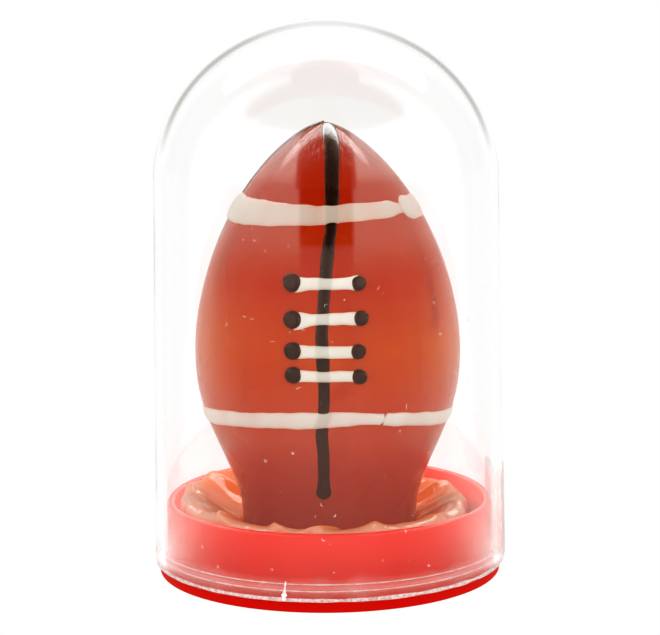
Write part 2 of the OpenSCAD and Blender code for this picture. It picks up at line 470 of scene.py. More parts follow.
# %% Rubbed rings
def scuff_and_highlight_ring(name, low, high, out, seed, finish=scuffed_and_highlight):
    """A hair-thin pale ring on the dome: wear at the rim, painted highlights above it. Its width
    wavers.
    """
    verts, turns = [], 720
    for k in range(turns):
        a = 2 * math.pi * k / turns
        n = noise.noise(Vector((math.sin(a) * 9, math.cos(a) * 9, seed)))
        half = (high - low) / 2 * (1 + 0.5 * n)
        mid = (low + high) / 2
        for z, r in ((mid - half, 0.004), (mid, out), (mid + half, 0.004)):
            wall = dome_radius(z) + r
            verts.append((wall * math.sin(a), -wall * math.cos(a), z))
    ring = make_piece(name, verts, grid_faces(turns, 3, wrap_rows=True), "dome", finish.material)
    set_numbers(ring, "worn", [0.0, 1.0, 0.0] * turns)


# The witness lines and the rim haze are pale as painted highlights; only the rubbed rim is wear.
scuff_and_highlight_ring("witness_line_low", DOME_FOOT + 1.92, DOME_FOOT + 2.08, 0.10, 1.0)
scuff_and_highlight_ring("witness_line_high", DOME_FOOT + 3.12, DOME_FOOT + 3.28, 0.10, 2.0)
scuff_and_highlight_ring("rubbed_rim", DOME_FOOT + 0.12, DOME_FOOT + 0.72, 0.02, 3.0)
scuff_and_highlight_ring("rim_highlight_haze", DOME_FOOT + 0.3, DOME_FOOT + 4.6, 0.012, 4.0, highlight_haze)
print("4 rubbed rings round the foot of the dome")

# %% [markdown]
# ## The football's shape
# The rubber is pulled over a football-shaped core, so its outline is the core's: pointed on
# top, widest below the middle, with a neck that runs down into the tray. Two short formulas
# give the outline. The paint uses them too, so every line follows the surface.

# %% Football outline
def ball_radius(z):
    if z >= WAIST_Z:
        u = min(1.0, (z - WAIST_Z) / (BALL_TOP - WAIST_Z))
        return WAIST_R * (1 - u**1.8) ** 0.665
    v = min(1.0, (WAIST_Z - z) / (WAIST_Z - NECK_Z))
    return NECK_R + (WAIST_R - NECK_R) * (1 + math.cos(math.pi * v**1.2)) / 2


def ball_slope(z):
    step = 0.02
    return (ball_radius(min(z + step, BALL_TOP)) - ball_radius(z - step)) / (
        min(z + step, BALL_TOP) - z + step)


def on_ball(angle, z, lift=0.0):
    """The point at an angle from the front and a height, lifted off the surface."""
    r, tilt = ball_radius(z), -ball_slope(z)
    size = math.hypot(1, tilt)
    r += lift / size
    return (r * math.sin(angle), -r * math.cos(angle), z + lift * tilt / size)


def on_front(x, z, lift=0.0):
    """The point straight behind x and z as seen from the front."""
    r = ball_radius(z)
    return on_ball(math.asin(max(-1.0, min(1.0, x / r))), z, lift)


print("radius at the upper band:", round(ball_radius(66.5), 1), "mm")

# %% [markdown]
# ## The rubber skin
# Thin orange-brown latex, stretched tight: glossy and a little see-through. Its colour is painted
# darker at the neck, where light can't come from behind it, and at the tip, and lighter round the
# middle, as painted shade and light. Faint pull lines run down it, a few darker flow lines wander
# over it, and round the tip it is crinkled and glossier. It is turned as a closed shell half a
# millimetre thick, and waved by a hair so that its reflections aren't perfect.

# %% Stretched rubber
rubber = Finish("stretched_rubber")
height = rubber.axis("Z") * 1000.0
# Painted shade and light: the ramp darkens the neck and the tip and lightens the middle.
rubber_tone_and_painted_light = rubber.add(
    "ShaderNodeValToRGB",
    {"stops": [(0.0, (0.37, 0.050, 0.042)), (0.18, (0.41, 0.056, 0.044)),
               (0.27, (0.50, 0.068, 0.042)),
               (0.36, (0.52, 0.064, 0.034)), (0.55, (0.57, 0.078, 0.012)),
               (0.74, (0.45, 0.030, 0.002)), (1.0, (0.32, 0.008, 0.001))]},
    height.over(0.0, 82.0),
)
cloud = rubber.noise(45.0, 3.0)
rubber_tone_and_painted_light = rubber.blend(cloud.over(0.35, 0.75) * 0.38, rubber_tone_and_painted_light, (0.50, 0.035, 0.010))
streaks = rubber.noise(160.0, 2.0, stretch=(1.0, 1.0, 0.12))
rubber_tone_and_painted_light = rubber.blend(streaks.over(0.55, 0.8) * 0.34, rubber_tone_and_painted_light, (0.36, 0.020, 0.008))
flow = rubber.noise(20.0, 1.0, stretch=(1.0, 1.0, 0.7))
flow_line = flow.over(0.480, 0.500) * flow.over(0.520, 0.500) * cloud.over(0.48, 0.60)
rubber_tone_and_painted_light = rubber.blend(flow_line * 0.6, rubber_tone_and_painted_light, (0.30, 0.010, 0.004))
east, south = rubber.axis("X"), rubber.axis("Y")
round_about = (east * east + south * south).math("SQRT") + 0.0003
spokes = rubber.add("ShaderNodeCombineXYZ", {}, east / round_about * 2.6, south / round_about * 2.6,
                    rubber.axis("Z") * 110.0)
crinkle = rubber.add("ShaderNodeTexNoise", {}, Vector=spokes, Scale=3.2, Detail=4.0, Roughness=0.6)
near_tip = height.over(72.0, 77.5)
rubber.surface(
    Base_Color=rubber_tone_and_painted_light,
    Roughness=rubber.noise(60.0, 2.0) * 0.10 + (0.22 - near_tip * 0.08),
    Specular_IOR_Level=0.13,
    Coat_Weight=near_tip * 0.6, Coat_Roughness=0.12,
    Normal=rubber.bump(streaks * 0.1 + cloud * 0.16 + crinkle * near_tip * 1.5, 0.9, 0.0011),
)
print("stretched rubber:", len(rubber.tree.nodes), "nodes")

# %% Football skin
SKIN = 0.5


def skin_wave(angle, r, z):
    wave = noise.noise(Vector((math.sin(angle) * 1.3, math.cos(angle) * 1.3, z / 14.0)))
    return r + 0.05 * wave * smooth(0, 8, r), z


# The rings lie closer together towards the tip, where the outline turns fastest.
levels = [BALL_TOP - (BALL_TOP - WAIST_Z) * (1 - math.cos(math.pi / 2 * k / 90)) for k in range(91)]
levels += list(np.linspace(WAIST_Z, 6.0, 70))[1:]
shell = [(0 if k == 0 else ball_radius(z), z) for k, z in enumerate(levels)]
lining = [(0, BALL_TOP - SKIN)]
lining += [(max(0.0, ball_radius(z + SKIN) - SKIN), z) for z in levels if z < BALL_TOP - SKIN]
lining = lining[::-1]
skin = make_piece("rubber_skin", *lathe(lining + shell, 220, skin_wave), "figure", rubber.material)
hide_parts("football_skin")
print("rubber skin:", len(skin.data.polygons), "faces")

# %% [markdown]
# ## Hand-laid paint
# The stripe, the bands, the laces and the dots are thick paint laid from a small bottle tip.
# Such a line has rounded sides, a width that wavers, and round ends. Each line is built as a
# ribbon of cross-sections over the football: flat below, domed above. Two numbers are kept on
# every vertex: how thin the paint is there, and whether it crosses the black stripe, because
# white paint lets a little of what is under it through.

# %% Cross-section of the paint
ACROSS = np.sin(np.linspace(-math.pi / 2, math.pi / 2, 15))  # closer together at the sides
SUNK = 0.06  # how far the back of the paint reaches into the rubber
CROSSING = 0.2  # how much thicker white paint lies on the black stripe
HIDING = 0.17  # paint this thick hides about two thirds of what is under it


def domed(u, power=2.6):
    """The rounded cross section of a bead of paint, u from -1 to 1."""
    return max(0.0, 1 - abs(u) ** power) ** 0.55


def round_end(distance, half):
    """How wide a line is at a distance from its round end, beside its full width."""
    t = min(1.0, distance / half)
    return math.sqrt(max(0.0, 1 - (1 - t) ** 2)) * 0.985 + 0.015


def waver(along, seed, size):
    """A small unsteadiness of the hand, the same each time for one seed."""
    return size * noise.noise(Vector((along, seed * 7.3, 0.5)))


print("a line of paint has", 2 * len(ACROSS), "points round it")

# %% Ribbon of paint
def paint_line(name, stations, place, finish, stands_for):
    """stations: (along, across centre, half width, thickness). place(along, across, lift)."""
    verts, thin, over = [], [], []
    for along, centre, half, thick in stations:
        for u in ACROSS:
            where = centre + half * u
            extra = over_stripe(along, where, place)
            lift = thick * domed(u) + CROSSING * extra * domed(u)
            verts.append(place(along, where, lift - SUNK * (1 - domed(u))))
            thin.append(math.exp(-thick * domed(u) / HIDING))
            over.append(extra)
        verts += [place(along, centre + half * u, -SUNK) for u in ACROSS[::-1]]
        thin += [1.0] * len(ACROSS)
        over += [0.0] * len(ACROSS)
    cols = 2 * len(ACROSS)
    rows = len(stations)
    faces = grid_faces(rows, cols, wrap_cols=True)
    faces += [tuple(range(cols)), tuple(range((rows - 1) * cols, rows * cols))[::-1]]
    piece = make_piece(name, verts, faces, "figure", finish, sharp=60)
    face_outwards(piece)
    set_numbers(piece, "thin", thin)
    set_numbers(piece, "over", over)
    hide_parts(*stands_for)
    return piece


print("a line of paint 2 mm wide starts", round(2 * round_end(0.0, 1.0), 2), "mm wide")

# %% Stripe centre line
STRIPE_Z = [16.5, 21.0, 25.4, 29.1, 34.9, 37.7, 41.9, 46.8,
            52.2, 58.6, 62.2, 64.5, 68.8, 77.8, 81.4]
STRIPE_X = [-1.0, -0.85, -0.9, -1.2, -0.8, -0.7, -0.8, -1.0,
            -0.6, 0.0, 0.4, 0.8, 1.0, 1.1, 0.4]
STRIPE_HALF = 1.08


def stripe_x(z):
    return float(np.interp(z, STRIPE_Z, STRIPE_X))


def over_stripe(along, across, place):
    """1 where a white line lies on the black stripe."""
    if place in (place_band, place_slanted):
        x, z = ball_radius(across) * math.sin(math.radians(along)), across
        if math.cos(math.radians(along)) < 0:
            return 0.0
    elif place is on_front:
        x, z = along, across
    else:
        return 0.0
    return 1 - smooth(STRIPE_HALF - 0.25, STRIPE_HALF + 0.3, abs(x - stripe_x(z)))


def place_stripe(z, x, lift):
    return on_front(x, z, lift)


def place_band(degrees, z, lift):
    return on_ball(math.radians(degrees), z, lift)


def place_slanted(degrees, z, lift):
    """As place_band, but the ends of the line are cut on a slant."""
    return place_band(degrees + 0.7 * (z - 31.8), z, lift)


print("the stripe wanders from x", min(STRIPE_X), "to", max(STRIPE_X), "mm")

# %% [markdown]
# Both paints are acrylic: the black is glossy and dense, the white a little creamy. Where the
# white is thin the rubber shows through it, and where it crosses the stripe it looks greenish
# grey. The mesh carries both as numbers, "thin" and "over", and the finish blends by them.

# %% Black and white paint
black = Finish("black_paint")
black_cloud = black.noise(700.0, 2.0)
# The line on the left side is given a greyer black.
left_side = black.axis("X").over(-0.004, -0.008) * black.axis("Y").over(-0.006, -0.002)
ink = black.blend(black_cloud, (0.002, 0.002, 0.002), (0.007, 0.006, 0.006))
black.surface(
    Base_Color=black.blend(left_side, ink, (0.12, 0.10, 0.10)),
    Roughness=black_cloud * 0.15 + 0.22,
    Specular_IOR_Level=0.2,
    Coat_Weight=black.axis("Z").over(0.0755, 0.079),
    Coat_Roughness=0.15,
    Normal=black.bump(black_cloud, 0.3, 0.0003),
)
white = Finish("white_paint")
lumps = white.noise(260.0, 3.0)
cover = white.blend(lumps.over(0.3, 0.7), (0.83, 0.76, 0.67), (0.89, 0.83, 0.75))
# The upper band is painted greyer as painted shade, the white below about 36 mm is darker,
# and the laces are the whitest.
cover = white.blend(white.axis("Z").over(0.058, 0.063), cover, (0.60, 0.52, 0.46))
cover = white.blend(white.axis("Z").over(0.037, 0.035), cover, (0.77, 0.70, 0.64))
cover = white.blend(white.attribute("thin") * 0.80, cover, (0.60, 0.16, 0.09))
cover = white.blend(white.attribute("over") * 0.34, cover, (0.27, 0.30, 0.26))
white.surface(
    Base_Color=cover,
    Roughness=lumps * 0.15 + 0.32,
    Specular_IOR_Level=0.4,
    Normal=white.bump(lumps, 0.25, 0.0003),
)
print("black paint:", len(black.tree.nodes), "nodes, white paint:", len(white.tree.nodes), "nodes")

# %% [markdown]
# The black stripe went on first. It starts on the tip, wanders a little down the front and
# ends in a round blob on the neck. A second line runs from the tip down the left side, a hair
# behind the outline as seen from the front. Each is a list of stations along the line, with
# the place, the half width and the thickness of the paint there.

# %% Black stripe
zs = np.concatenate([np.linspace(16.7, 19.4, 14), np.linspace(19.8, 81.05, 150)])
stripe = []
for z in zs:
    half = STRIPE_HALF + waver(z / 5.0, 1, 0.16) + 0.30 * (1 - smooth(17, 21, z))
    half += 0.28 * smooth(66, 70, z)
    half *= round_end(z - 16.69, 1.3)
    half = min(half, ball_radius(z) * 0.8) * (1 - 0.2 * smooth(79.5, 81.0, z))
    stripe.append((z, stripe_x(z) + waver(z / 7.0, 2, 0.12), half, 0.22))
paint_line("centre_stripe", stripe, place_stripe, black.material, ["seam_stripe"])
print("centre stripe:", len(stripe), "stations")

# %% Side stripe
SIDE = math.radians(-96.0)  # just behind the left outline


def place_side(z, across, lift):
    return on_ball(SIDE + across / max(ball_radius(z), 1.0), z, lift)


side_line = []
for z in np.concatenate([np.linspace(20.0, 80.2, 130), np.linspace(80.3, BALL_TOP - 0.02, 14)]):
    half = min(0.95 + waver(z / 6.0, 8, 0.15), ball_radius(z) * 0.8) * round_end(z - 19.99, 1.1)
    side_line.append((z, waver(z / 9.0, 9, 0.15), half, 0.16 + 0.14 * smooth(58.0, 76.0, z)))
paint_line("side_stripe", side_line, place_side, black.material, [])
print("side stripe:", len(side_line), "stations")

# %% [markdown]
# Each white band goes once round the football and meets its own start in front, off to the
# right: a thick blob over a thin tail on the upper band, and a fine gap on the lower one.

# %% Band stations
BAND_STATIONS = 420


def band_stations(start, stop, edges, thickness, end_thin, seed, blunt=1.0):
    """edges: rows of (degrees, low z, high z) for one turn. end_thin: how thin the tail gets."""
    deg, low, high = (np.array(v, float) for v in zip(*edges))
    out = []
    for a in np.linspace(start, stop, BAND_STATIONS):
        wrapped = (a + 180) % 360 - 180
        lo, hi = (float(np.interp(wrapped, deg, v, period=360)) for v in (low, high))
        r = ball_radius((lo + hi) / 2)
        centre, half = (lo + hi) / 2, (hi - lo) / 2
        centre += waver(a / 9.0, seed, 0.16)
        half += waver(a / 6.0, seed + 1, 0.14)
        reach = math.radians(1) * r
        width = (round_end((a - start) * reach + 0.01, half * blunt)
                 * round_end((stop - a) * reach + 0.01, half * blunt))
        thick = thickness(wrapped) * (0.35 + 0.65 * width)
        tail = smooth(0, 14, stop - a)
        half *= width * (1 - end_thin * (1 - tail))
        out.append((a, centre, half, thick * (1 - 0.75 * (1 - tail) * (end_thin > 0.3))))
    return out


print("bands have a station every", round(360 / BAND_STATIONS, 2), "degrees")

# %% Upper band
def upper_thick(a):
    left = math.exp(-((a + 88) / 30) ** 2)
    blob = math.exp(-((a - 62) / 9) ** 2)
    right = math.exp(-((a - 30) / 26) ** 2)
    return 0.26 + 0.55 * left + 0.22 * blob - 0.10 * right + waver(a / 8.0, 11, 0.12)


upper = band_stations(
    53.5, 417.0,
    [(-180, 64.9, 68.6), (-100, 64.3, 69.0), (-45, 64.5, 68.8), (-28, 64.7, 68.5),
     (0, 65.1, 68.25), (20, 65.5, 68.5), (50, 65.9, 68.5), (62, 64.9, 69.0),
     (76, 64.8, 68.7), (120, 65.0, 68.6)],
    upper_thick, 0.45, 3)
paint_line("upper_white_band", upper, place_band, white.material, ["upper_band"])
print("upper band:", len(upper), "stations")

# %% Lower band
def lower_thick(a):
    return 0.33 + waver(a / 7.0, 12, 0.2) + 0.2 * math.exp(-((a - 29) / 5) ** 2)


lower = band_stations(
    24.2, 384.5,
    [(-180, 28.6, 31.6), (-100, 27.8, 30.6), (-74, 28.1, 31.2), (-46, 29.5, 32.5),
     (-19, 30.3, 33.4), (0, 30.55, 33.6), (13, 30.9, 33.3), (24, 30.6, 32.9),
     (40, 29.7, 32.2), (75, 27.9, 30.5), (120, 28.0, 31.0)],
    lower_thick, 0.06, 5, 0.25)
paint_line("lower_white_band", lower, place_slanted, white.material, ["lower_band"])
print("lower band:", len(lower), "stations")

# %% [markdown]
# Four short white bars are the laces, flared where the tip was lifted. A black dot was then
# set on each end. No two are alike, so each has its own small change of shape.

# %% Where the laces and dots lie
DOT_X = (-5.85, 5.3)
DOT_HEIGHT = 1.0
LACES = [  # left z, right z, half height in the middle, flare on the left, flare on the right
    (55.55, 55.45, 0.98, 0.42, 0.30),
    (49.50, 49.65, 1.02, 0.55, 0.12),
    (44.20, 43.95, 1.10, 0.12, 0.05),
    (39.95, 39.75, 0.98, 0.10, 0.10),
]
DOTS = [  # left z, left size, right x, right z, right size
    (55.60, 3.15, 5.30, 55.42, 2.50),
    (49.48, 3.15, 5.65, 49.63, 2.60),
    (44.25, 3.05, 5.10, 44.05, 2.62),
    (40.07, 2.90, 5.27, 39.70, 2.66),
]
print(len(LACES), "laces and", 2 * len(DOTS), "dots to lay")

# %% A dot of paint
RINGS, SPOKES = 12, 40


def paint_dot(name, x0, z0, size, seed, stands_for):
    """A flat drop with steep sides and an edge that isn't quite round."""
    verts = [on_front(x0, z0, DOT_HEIGHT)]
    for k in range(1, RINGS + 1):
        rho = math.sin(math.pi / 2 * k / RINGS)
        for s in range(SPOKES):
            t = 2 * math.pi * s / SPOKES
            edge = size / 2 * (1 + 0.07 * noise.noise(Vector((math.cos(t), math.sin(t), seed))))
            x, z = x0 + rho * edge * math.cos(t), z0 + rho * edge * math.sin(t)
            verts.append(on_front(x, z, DOT_HEIGHT * domed(rho, 6.0) - SUNK * (1 - domed(rho))))
    last = 1 + (RINGS - 1) * SPOKES
    base = len(verts)
    verts.append(on_front(x0, z0, -SUNK))
    faces = [(0, 1 + s, 1 + (s + 1) % SPOKES) for s in range(SPOKES)]
    faces += grid_faces(RINGS, SPOKES, wrap_cols=True, first=1, flip=True)
    faces += [(base, last + (s + 1) % SPOKES, last + s) for s in range(SPOKES)]
    dot = make_piece(name, verts, faces, "figure", black.material, sharp=70)
    face_outwards(dot)
    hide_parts(stands_for)


print("a dot has", RINGS * SPOKES, "points on its face")

# %% Laces and dots
for k, (left_z, right_z, half, flare_l, flare_r) in enumerate(LACES, 1):
    bar = []
    x_first, x_last = DOT_X[0] + 0.2, DOT_X[1] - 0.1
    for x in np.linspace(x_first, x_last, 46):
        t = (x - x_first) / (x_last - x_first)
        z = left_z + (right_z - left_z) * t + waver(x / 2.5, 20 + k, 0.10)
        wide = half + flare_l * (1 - smooth(0.0, 0.34, t)) + flare_r * smooth(0.75, 1.0, t)
        wide += waver(x / 1.8, 30 + k, 0.12)
        bar.append((x, z - flare_l * 0.35 * (1 - smooth(0.0, 0.34, t)), wide, 0.50))
    paint_line(f"white_lace_{k}", bar, on_front, white.material,
               [f"lace_bar_{k}"])
    dot_z, dot_size, right_x, dot_right_z, right_size = DOTS[k - 1]
    paint_dot(f"black_dot_left_{k}", DOT_X[0], dot_z, dot_size, 40 + k, f"lace_dot_left_{k}")
    paint_dot(f"black_dot_right_{k}", right_x, dot_right_z, right_size, 50 + k,
              f"lace_dot_right_{k}")
print("laces: 4 bars and 8 dots")

# %% [markdown]
# ## The gathered skirt
# Below the neck the rubber is slack. It is gathered in uneven pleats that stand up inside the
# collar and fold down to the rolled end: wide scooped hollows between narrow, shiny ridges.
# The shape is a closed curtain. An outline runs from the neck over a crest and down again, and
# the ridges, each with its own place, height and lean, are raised on it.
# So thin a film glows where light comes through it, so its finish mixes a glossy surface with
# one that passes light, and the hollows at the back are given a painted glow for the light from
# behind.

# %% Slack rubber
slack = Finish("slack_rubber")
slack_cloud = slack.noise(220.0, 3.0)
fold = slack.attribute("ridge")
outside = slack.attribute("outside")
slack_tone = slack.blend(slack_cloud.over(0.35, 0.7), (1.0, 0.27, 0.05), (1.0, 0.38, 0.10))
slack_tone = slack.blend(fold.over(0.5, 1.1) * 0.45, slack_tone, (0.98, 0.60, 0.42))
# The outer wall is painted paler, a painted sheen for the film seen edge-on.
slack_tone = slack.blend(outside * 0.85, slack_tone, (0.93, 0.60, 0.46))
hollow = (1.0 - outside) * (1.0 - fold.over(0.4, 1.0) * 0.6)
# Painted glow: an emission colour in the back hollows stands for light through the film.
painted_backlight_glow = hollow * slack.axis("Y").over(-0.002, 0.012)
slack_gloss = slack.surface(
    Base_Color=slack_tone,
    Roughness=slack_cloud * 0.10 + 0.06,
    Specular_IOR_Level=0.6,
    Coat_Weight=0.25,
    Coat_Roughness=0.08,
    Emission_Color=slack.blend(painted_backlight_glow, (0.0, 0.0, 0.0), (0.34, 0.065, 0.009)),
    Emission_Strength=1.0,
    Normal=slack.bump(slack_cloud, 0.45, 0.0005),
)
slack_glow = slack.add("ShaderNodeBsdfTranslucent", {}, (0.98, 0.46, 0.20))
slack.mix(0.5, slack_gloss, slack_glow)
print("slack rubber:", len(slack.tree.nodes), "nodes")

# %% Outline and ridges of the skirt
SKIRT_PATH = [  # r, z, how far the ridges move it out, how far they raise it
    (15.6, 5.6, 0.0, 0.0), (15.9, 7.4, 0.0, 0.2), (16.8, 8.9, 0.1, 0.7), (18.6, 9.9, 0.2, 1.3),
    (20.6, 10.9, 0.3, 1.7), (22.6, 12.2, 0.6, 1.5), (24.2, 13.1, 1.0, 1.1), (25.6, 13.2, 0.9, 0.8),
    (26.7, 12.3, 0.7, 0.5), (27.0, 10.6, 0.5, 0.2), (26.8, 8.4, 0.4, 0.0), (26.3, 6.2, 0.3, 0.0),
    (25.6, 4.6, 0.1, 0.0),
]
random.seed(7)
RIDGES = []  # angle, half width, height, lean
for k in range(15):
    RIDGES.append((math.radians(24.0 * k + random.uniform(-8, 8)),
                   math.radians(random.uniform(3.0, 6.0)), random.uniform(0.6, 1.25),
                   math.radians(random.choice((-1, 1)) * random.uniform(10, 26))))


def along_path(s):
    """A smooth point of the skirt's outline, s from 0 to 1."""
    t = s * (len(SKIRT_PATH) - 1)
    i = min(int(t), len(SKIRT_PATH) - 2)
    f = t - i
    p = [np.array(SKIRT_PATH[min(max(i + k, 0), len(SKIRT_PATH) - 1)]) for k in (-1, 0, 1, 2)]
    return 0.5 * (2 * p[1] + (p[2] - p[0]) * f + (2 * p[0] - 5 * p[1] + 4 * p[2] - p[3]) * f**2
                  + (3 * p[1] - p[0] - 3 * p[2] + p[3]) * f**3)


def ridge_height(angle, s):
    """The height of the pleats, from 0 in a hollow to about 1 on a ridge."""
    total = 0.0
    for centre, half, tall, lean in RIDGES:
        away = (angle - centre - lean * (s - 0.5) * 2 + math.pi) % (2 * math.pi) - math.pi
        total = max(total, tall * math.exp(-abs(away / half) ** 1.5))
    return total


print("skirt:", len(RIDGES), "ridges")

# %% Gathered skirt
rows_a, rows_s = 540, 72
FREE_R, SQUASH = 27.0, 0.6  # beyond this radius the collar squashes the pleats
verts, ridge_share, outer_share = [], [], []
for i in range(rows_a):
    angle = 2 * math.pi * i / rows_a
    side = Vector((math.sin(angle), -math.cos(angle), 0))
    swing = noise.noise(side * 1.8 + Vector((0, 0, 7.7)))
    pull = 0.9 * smooth(-0.4, 0.5, -side.x - 0.2 * side.y)
    pull -= 1.6 * smooth(0.2, 1.0, side.x + 0.5 * side.y)
    lift = 0.9 * smooth(-0.2, 0.9, -side.x + 0.3 * side.y) + 0.35 * smooth(0.3, 1.0, -side.y)
    for j in range(rows_s):
        s = j / (rows_s - 1)
        r, z, out_by, up_by = along_path(s)
        ridge = ridge_height(angle, s)
        weight = smooth(0.12, 0.55, s)
        crumple = noise.noise(Vector((side.x * 6, side.y * 6, s * 5 + 2)))
        crumple *= 0.55 * smooth(0.05, 0.4, s)
        wrinkle = noise.noise(Vector((side.x * 26, side.y * 26, s * 2.5))) * 0.10
        r += out_by * (ridge - 0.35) + (pull + swing * 0.5) * weight + crumple + wrinkle
        z += up_by * (ridge - 0.25) + (swing * 0.4 + lift) * weight + crumple * 0.6 + wrinkle
        r = r if r < FREE_R else FREE_R + SQUASH * math.tanh((r - FREE_R) / SQUASH)
        verts.append((r * side.x, r * side.y, min(z, SKIRT_TOP + 0.9)))
        ridge_share.append(min(1.0, ridge))
        outer_share.append(smooth(0.50, 0.64, s))
skirt = make_piece("gathered_rubber", verts, grid_faces(rows_a, rows_s, wrap_rows=True),
                   "figure", slack.material)
set_numbers(skirt, "ridge", ridge_share)
set_numbers(skirt, "outside", outer_share)
film = skirt.modifiers.new("rubber thickness", "SOLIDIFY")
film.thickness, film.offset = 0.40 * MM, -1.0
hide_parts("gathered_skirt")
print("gathered skirt:", len(verts), "points")

# %% [markdown]
# Two CAD solids are hidden inside and keep their exact shapes: the core and the rolled end of
# the rubber. They still get finishes of their own, for when the figure is taken apart.

# %% Hidden pieces
core = Finish("core_foam")
cells = core.add("ShaderNodeTexVoronoi", {}, Vector=core.place(), Scale=900.0)
core.surface(
    Base_Color=core.blend(core.noise(40.0, 3.0), (0.72, 0.60, 0.42), (0.80, 0.69, 0.52)),
    Roughness=cells * 0.2 + 0.7,
    Normal=core.bump(cells, 0.3, 0.0004),
)
rolled = Finish("rolled_rubber")
rings_tone = rolled.noise(300.0, 2.0, stretch=(0.3, 0.3, 3.0))
rolled.surface(
    Base_Color=rolled.blend(rings_tone, (0.50, 0.10, 0.03), (0.62, 0.18, 0.06)),
    Roughness=rings_tone * 0.15 + 0.25,
    Normal=rolled.bump(rings_tone, 0.3, 0.0003),
)
for node, finish in (("inner_former", core), ("rolled_rim", rolled)):
    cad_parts[node].material_slots[0].material = finish.material
    print(node, "gets", finish.material.name)

# %% [markdown]
# ## Label and moulding scar
# A small blank paper label is stuck low on the dome's right side and wraps to the back. Its
# front edge has let go a little. Paper this thin passes light, so its finish does too. Near the
# front of the rim a sliver of torn plastic shows where the part was cut from its runner.

# %% Label paper
paper = Finish("label_paper")
fibre = paper.noise(1500.0, 4.0, stretch=(1.0, 1.0, 0.4))
paper_face = paper.surface(
    Base_Color=paper.blend(fibre, (0.93, 0.93, 0.92), (0.98, 0.98, 0.98)),
    Roughness=fibre * 0.15 + 0.45,
    Normal=paper.bump(fibre, 0.2, 0.0001),
)
paper_glow = paper.add("ShaderNodeBsdfTranslucent", {}, (0.97, 0.97, 0.96))
paper.mix(0.6, paper_face, paper_glow)
print("label paper:", len(paper.tree.nodes), "nodes")

# %% Paper label
LABEL_A, LABEL_B = 74.0, 104.0  # degrees from the front
CORNER = 1.6


def label_point(u, v, lift):
    """u and v run from -1 to 1 over the label; its corners are rounded."""
    half_h = (LABEL_HIGH - LABEL_LOW) / 2
    half_w = math.radians(LABEL_B - LABEL_A) / 2 * RIM_R
    y = v * half_h
    cut = max(0.0, abs(y) - (half_h - CORNER))
    width = half_w - (CORNER - math.sqrt(max(0.0, CORNER**2 - cut**2)))
    a = math.radians((LABEL_A + LABEL_B) / 2) + u * width / RIM_R
    z = (LABEL_LOW + LABEL_HIGH) / 2 + y
    loose = 0.30 * (1 - smooth(-1.0, -0.72, u)) * (0.7 + 0.3 * math.cos(v * 2.2))
    r = dome_radius(z) + 0.14 + loose + 0.03 * noise.noise(Vector((a * 9, z * 0.3, 1))) + lift
    return (r * math.sin(a), -r * math.cos(a), z)


us, vs = np.linspace(-1, 1, 72), np.sin(np.linspace(-math.pi / 2, math.pi / 2, 40))
glued, face = ([label_point(u, v, lift) for v in vs for u in us] for lift in (0.0, 0.12))
label = make_patch("paper_label", glued, face, len(vs), len(us), paper.material, sharp=50)
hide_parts("side_label")
print("label:", len(label.data.polygons), "faces")

# %% Moulding scar
torn = Finish("torn_styrene")
grit = torn.noise(2500.0, 3.0)
torn.surface(
    Base_Color=(0.93, 0.92, 0.92),
    Roughness=grit * 0.3 + 0.35,
    IOR=1.5,
    Normal=torn.bump(grit, 0.8, 0.0004),
)
verts, rows, cols = [], 26, 9
for i in range(rows):
    z = DOME_FOOT + 0.15 + 3.5 * i / (rows - 1)
    wide = 0.85 - 0.55 * smooth(0.25, 0.6, i / rows)
    wide *= 1 + 0.7 * noise.noise(Vector((z * 2, 4, 1)))
    wide *= math.sqrt(max(0.02, 1 - (2 * i / (rows - 1) - 1) ** 8))
    for j in range(cols):
        u = 2 * j / (cols - 1) - 1
        rough_edge = 0.07 * noise.noise(Vector((z * 5, u * 3, 9)))
        r = dome_radius(z) + 0.02 + (0.20 + rough_edge) * domed(u)
        a = math.radians(-14.2 + 0.4 * (z - 4) / 2) + u * wide / 2 / RIM_R
        verts.append((r * math.sin(a), -r * math.cos(a), z))
under = [(x * 0.998, y * 0.998, z) for x, y, z in verts]
scar = make_patch("moulding_scar", verts, under, rows, cols, torn.material)
print("scar:", len(scar.data.polygons), "faces")

# %% [markdown]
# Plastic gathers dust. Specks and short hairs lie on the dome, each a tiny curved strip just
# proud of the wall, and a few curled fibres have places of their own. A seed keeps the rest in
# the same places each time.

# %% Dust
random.seed(31)
SPECKS = 240
CURLS = [(-20.1, 26.3), (-11.2, 27.9), (38.0, 47.0)]  # curled fibres: degrees from the front, z
verts, faces = [], []
for k in range(SPECKS + len(CURLS)):
    angle, z = random.uniform(-math.pi, math.pi), random.uniform(4.0, 70.0)
    length = random.choice((0.18, 0.25, 0.3, 0.45, 0.9, 1.1))
    width, turn = random.uniform(0.07, 0.16), random.uniform(0, math.pi)
    bend = random.uniform(-3.0, 3.0)
    if k >= SPECKS:
        angle, z = math.radians(CURLS[k - SPECKS][0]), CURLS[k - SPECKS][1]
        length, width, turn, bend = 1.0, 0.20, -0.3, 2.6
    first = len(verts)
    for j in range(7):
        t = j / 6 - 0.5
        heading = turn + bend * t
        x, y = length * t * math.cos(heading), length * t * math.sin(heading)
        w = width / 2 * math.sqrt(max(0.05, 1 - (2 * t) ** 2))
        for side_x, side_y, up_by in ((-1, 1, 0.004), (0, 0, 0.03), (1, -1, 0.004)):
            px = x + side_x * w * math.sin(heading)
            py = y + side_y * w * math.cos(heading)
            wall = dome_radius(z + py) + up_by
            a = angle + px / RIM_R
            verts.append((wall * math.sin(a), -wall * math.cos(a), z + py))
    faces += grid_faces(7, 3, first=first)
dust = make_piece("dust", verts, faces, "dome", scuffed_and_highlight.material)
print("dust:", len(faces), "faces")

